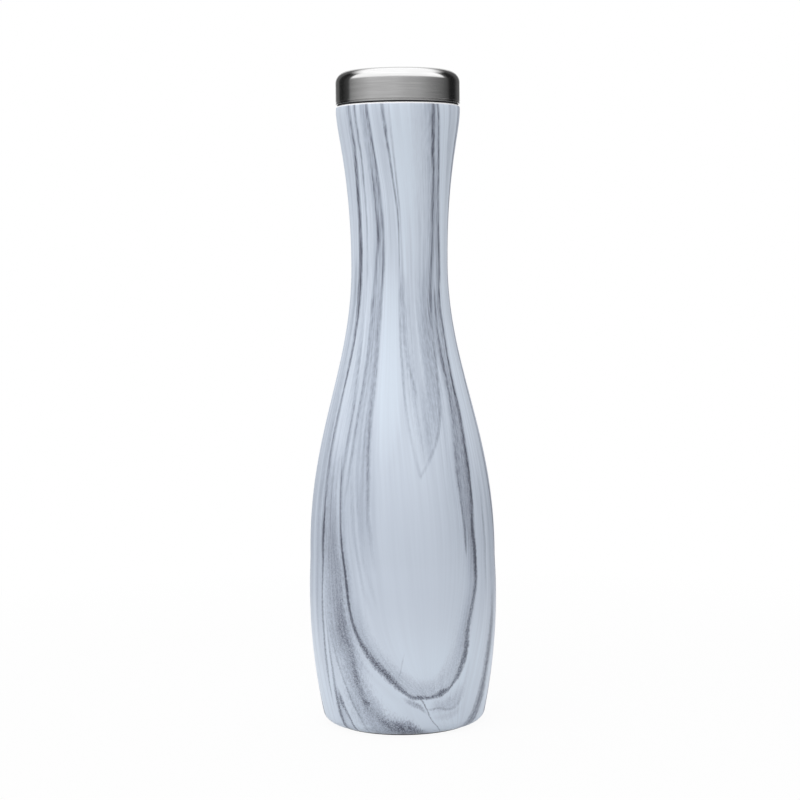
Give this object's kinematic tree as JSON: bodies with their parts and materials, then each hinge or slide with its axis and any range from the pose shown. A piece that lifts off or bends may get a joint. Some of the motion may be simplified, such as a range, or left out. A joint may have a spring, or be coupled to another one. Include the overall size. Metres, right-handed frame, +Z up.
{
  "type": "insulated wine carafe",
  "caption": "Double-walled vacuum carafe for wine: a slender waisted body with a pale veined coating, a domed floor and a flat threaded cap with a rim gasket and an insulated plug.",
  "frame": {"origin": "centre of the foot ring's lower face, on the surface that the carafe stands on", "axes": "+Z up along the carafe's own axis, towards the cap; +X is any side, as the body is round"},
  "size_m": [0.0878, 0.0878, 0.3048],
  "materials": {
    "pale_coating": "satin pale blue-grey coating with speckled grey veins",
    "brushed_steel": "brushed round the axis",
    "inner_steel": "electropolished satin",
    "copper": "bright copper foil",
    "getter_alloy": "sintered matte",
    "solder_glass": "fused glossy bead",
    "dark_silicone": "matte",
    "black_plastic": "moulded satin",
    "white_foam": "matte cellular"
  },
  "bodies": {
    "root": {"outer_shell": "pale_coating", "inner_liner": "inner_steel", "liner_bottom": "inner_steel", "copper_foil": "copper", "vacuum_bottom": "inner_steel", "getter": "getter_alloy", "getter_clip": "inner_steel", "vacuum_seal": "solder_glass", "base_cover": "brushed_steel", "foot_ring": "dark_silicone"},
    "seal": {"rim_gasket": "dark_silicone"},
    "cap": {"cap_shell": "brushed_steel", "plug": "black_plastic", "foam_core": "white_foam", "core_disc": "black_plastic"}
  },
  "joints": [
    {"name": "cap_rise", "type": "slide", "parent": "root", "child": "seal", "axis": [0, 0, 1], "range_m": [0, 0.018]},
    {"name": "cap_turn", "type": "hinge", "parent": "seal", "child": "cap", "pos_m": [0, 0, 0.289], "axis": [0, 0, 1], "range_deg": [0, 720]}
  ],
  "couplings": [
    {"joint": "cap_rise", "follows": "cap_turn", "m_per_rad": 0.0014324}
  ]
}
